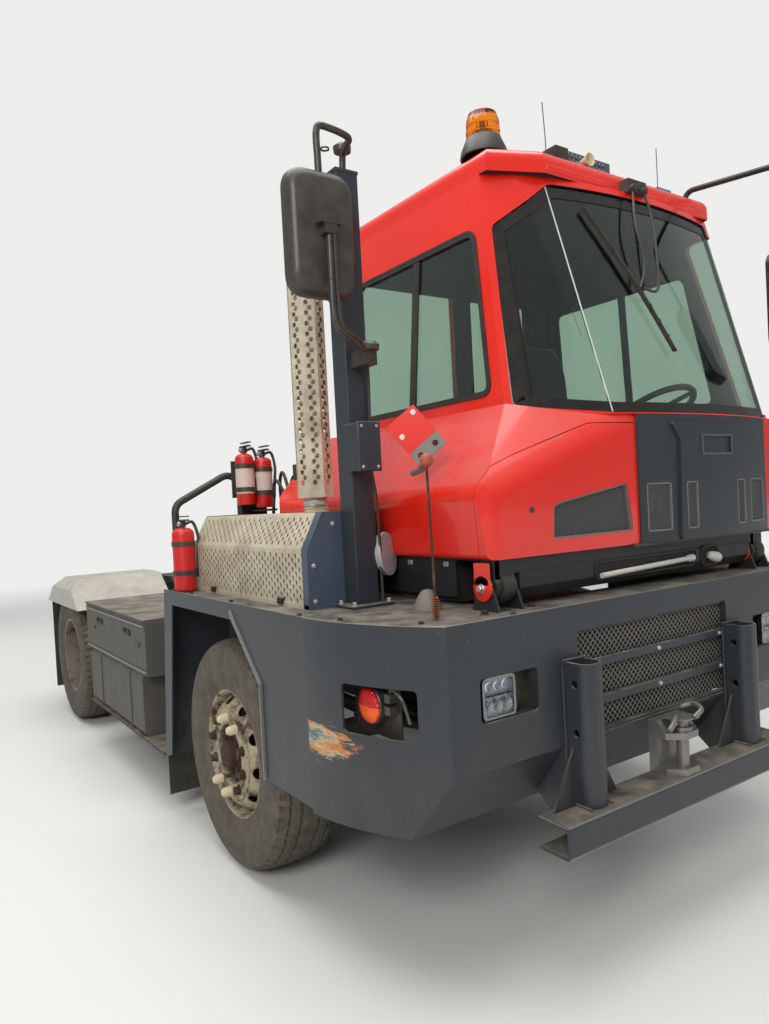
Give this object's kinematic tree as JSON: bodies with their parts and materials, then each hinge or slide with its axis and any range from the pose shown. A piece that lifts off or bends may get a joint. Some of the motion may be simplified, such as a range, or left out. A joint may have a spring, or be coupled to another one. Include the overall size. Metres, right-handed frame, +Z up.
{
  "type": "terminal tractor",
  "caption": "Short-wheelbase terminal tractor with an offset tilting cab, wide front bumper with push beam, and a lifting fifth wheel between twin rear wheels.",
  "frame": {"origin": "on the ground, midway along the length and across the width", "axes": "+Y to the rear, +X to the vehicle's left, +Z up"},
  "size_m": [2.48, 5.6, 3.3198],
  "materials": {
    "slate_paint": "satin",
    "red_paint": "gloss",
    "black_paint": "satin",
    "black_plastic": "matte",
    "perforated_steel": "dull",
    "rim_paint": "worn",
    "rim_grey": "dusty",
    "tyre": "matte",
    "rubber": "matte",
    "glass": "clear",
    "lamp_glass": "clear",
    "amber_lens": "gloss",
    "cast_iron": "rough",
    "axle_steel": "rough",
    "chrome_rod": "polished",
    "extinguisher_red": "gloss",
    "seat_fabric": "woven",
    "fender_paint": "dusty"
  },
  "bodies": {
    "chassis": {"frame": "slate_paint", "front_bumper": "slate_paint", "front_lamps": "lamp_glass", "grille": "black_paint", "push_beam": "slate_paint", "tow_coupling": "cast_iron", "front_deck": "slate_paint", "deck_right": "slate_paint", "deck_left": "slate_paint", "mudflaps": "rubber", "battery_box": "slate_paint", "fuel_tank": "slate_paint", "hydraulic_tank": "slate_paint", "steps": "slate_paint", "rear_platform": "slate_paint", "exhaust_box": "perforated_steel", "exhaust": "perforated_steel", "mirror_mast": "slate_paint", "mirror_right": "black_plastic", "handrail": "black_paint", "extinguishers": "extinguisher_red", "driveline": "axle_steel", "radiator": "axle_steel", "front_axle": "axle_steel", "leaf_springs": "axle_steel", "rear_axle": "axle_steel", "rear_fenders": "fender_paint", "cab_mounts": "black_paint"},
    "cab": {"cab_beam": "black_paint", "cab_body": "red_paint", "cab_frame": "red_paint", "cab_roof": "red_paint", "service_panel": "red_paint", "front_panel": "slate_paint", "windscreen": "glass", "side_glass": "glass", "seat": "seat_fabric", "console": "black_plastic", "wiper": "black_plastic", "beacon": "amber_lens", "light_bar": "black_plastic", "mirror_left": "black_plastic"},
    "rear_door": {"rear_door": "red_paint", "door_glass": "glass"},
    "knuckle_right": {"knuckle_right": "axle_steel"},
    "knuckle_left": {"knuckle_left": "axle_steel"},
    "tie_rod": {"tie_rod": "axle_steel"},
    "wheel_front_right": {"tyre_front_right": "tyre", "rim_front_right": "rim_paint"},
    "wheel_front_left": {"tyre_front_left": "tyre", "rim_front_left": "rim_paint"},
    "wheels_rear_right": {"tyres_rear_right": "tyre", "rims_rear_right": "rim_grey"},
    "wheels_rear_left": {"tyres_rear_left": "tyre", "rims_rear_left": "rim_grey"},
    "lift_boom": {"lift_boom": "slate_paint"},
    "fifth_wheel": {"fifth_wheel": "cast_iron"},
    "cylinder_barrels": {"cylinder_barrels": "black_paint"},
    "cylinder_rods": {"cylinder_rods": "chrome_rod"}
  },
  "joints": [
    {"name": "steer_left", "type": "hinge", "parent": "chassis", "child": "knuckle_left", "pos_m": [0.88, -1.22, 0.522], "axis": [0, 0, 1], "range_deg": [-38, 38]},
    {"name": "steer_right", "type": "hinge", "parent": "chassis", "child": "knuckle_right", "pos_m": [-0.88, -1.22, 0.522], "axis": [0, 0, 1], "range_deg": [-38, 38]},
    {"name": "tie_rod_end", "type": "hinge", "parent": "knuckle_left", "child": "tie_rod", "pos_m": [0.88, -0.99, 0.386], "axis": [0, 0, 1], "range_deg": [-38, 38]},
    {"name": "roll_front_left", "type": "hinge", "parent": "knuckle_left", "child": "wheel_front_left", "pos_m": [1.05, -1.22, 0.522], "axis": [1, 0, 0], "continuous": true},
    {"name": "roll_front_right", "type": "hinge", "parent": "knuckle_right", "child": "wheel_front_right", "pos_m": [-1.05, -1.22, 0.522], "axis": [1, 0, 0], "continuous": true},
    {"name": "roll_rear_left", "type": "hinge", "parent": "chassis", "child": "wheels_rear_left", "pos_m": [1.05, 2.08, 0.522], "axis": [1, 0, 0], "continuous": true},
    {"name": "roll_rear_right", "type": "hinge", "parent": "chassis", "child": "wheels_rear_right", "pos_m": [-1.05, 2.08, 0.522], "axis": [1, 0, 0], "continuous": true},
    {"name": "cab_tilt", "type": "hinge", "parent": "chassis", "child": "cab", "pos_m": [0, -2.47, 1.31], "axis": [1, 0, 0], "range_deg": [0, 55]},
    {"name": "rear_door_swing", "type": "hinge", "parent": "cab", "child": "rear_door", "pos_m": [1.022, -1.06, 2], "axis": [0, 0, -1], "range_deg": [0, 100]},
    {"name": "boom_lift", "type": "hinge", "parent": "chassis", "child": "lift_boom", "pos_m": [0, 0.35, 0.88], "axis": [1, 0, 0], "range_deg": [0, 24]},
    {"name": "barrel_swing", "type": "hinge", "parent": "chassis", "child": "cylinder_barrels", "pos_m": [0, 0.5, 0.53], "axis": [1, 0, 0], "range_deg": [0, 21.08]},
    {"name": "rod_slide", "type": "slide", "parent": "cylinder_barrels", "child": "cylinder_rods", "axis": [0, 0.8762, 0.4819], "range_m": [0, 0.1528]},
    {"name": "fifth_wheel_pitch", "type": "hinge", "parent": "lift_boom", "child": "fifth_wheel", "pos_m": [0, 1.9, 0.97], "axis": [1, 0, 0], "range_deg": [-25, 12]}
  ],
  "couplings": [
    {"joint": "steer_right", "follows": "steer_left", "ratio": 1},
    {"joint": "tie_rod_end", "follows": "steer_left", "ratio": -1},
    {"joint": "barrel_swing", "follows": "boom_lift", "ratio": 0.87623},
    {"joint": "rod_slide", "follows": "boom_lift", "m_per_rad": 0.36357}
  ]
}
